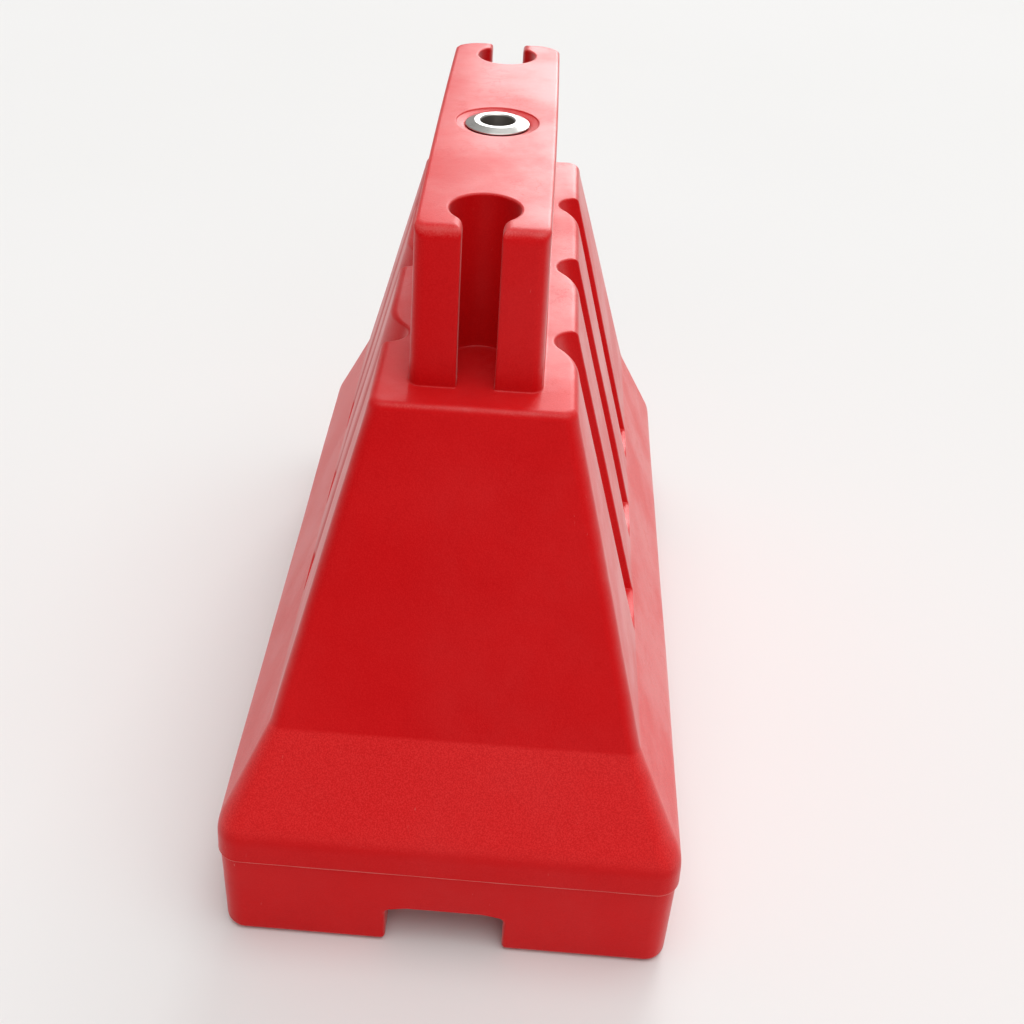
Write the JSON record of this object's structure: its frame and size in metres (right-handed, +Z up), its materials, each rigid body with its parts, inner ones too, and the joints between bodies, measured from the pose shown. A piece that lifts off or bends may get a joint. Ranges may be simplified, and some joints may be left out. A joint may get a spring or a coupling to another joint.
{
  "type": "water filled barrier",
  "caption": "Tall hollow road barrier with a stepped skirt, sloping body, keyhole-slotted top rail, steel filler collar and screw-in drain plug.",
  "frame": {"origin": "centre of the underside, on the ground", "axes": "+Z up, X along the barrier's length, drain plug on the -Y side near the +X end"},
  "size_m": [1, 0.516, 0.8],
  "materials": {
    "red_plastic": "fine-grained polyethylene, lightly scuffed on the edges",
    "weld_bead": "paler thin bead of the same plastic",
    "satin_steel": "turned steel, satin with a bright top face",
    "seal_rubber": "matt black rubber",
    "dark_plastic": "glass-filled nylon, dark grey",
    "plug_plastic": "moulded nylon, near black"
  },
  "bodies": {
    "barrier": {"upper_shell": "red_plastic", "base_shell": "red_plastic", "seam_weld_bead": "weld_bead", "filler_collar": "satin_steel", "filler_gasket": "seal_rubber", "filler_backing_washer": "satin_steel", "filler_locknut": "satin_steel", "drain_bush": "dark_plastic", "drain_bush_gasket": "seal_rubber", "drain_backing_washer": "dark_plastic", "drain_locknut": "dark_plastic"},
    "plug_seal": {"drain_plug_seal": "seal_rubber"},
    "plug": {"drain_plug": "plug_plastic"}
  },
  "joints": [
    {"name": "drain_plug_draw", "type": "slide", "parent": "barrier", "child": "plug_seal", "axis": [0, -1, 0], "range_m": [0, 0.036]},
    {"name": "drain_plug_turn", "type": "hinge", "parent": "plug_seal", "child": "plug", "pos_m": [0.37, -0.255, 0.06], "axis": [0, -1, 0], "range_deg": [0, 2161]}
  ],
  "couplings": [
    {"joint": "drain_plug_turn", "follows": "drain_plug_draw", "rad_per_m": 1047.2}
  ]
}
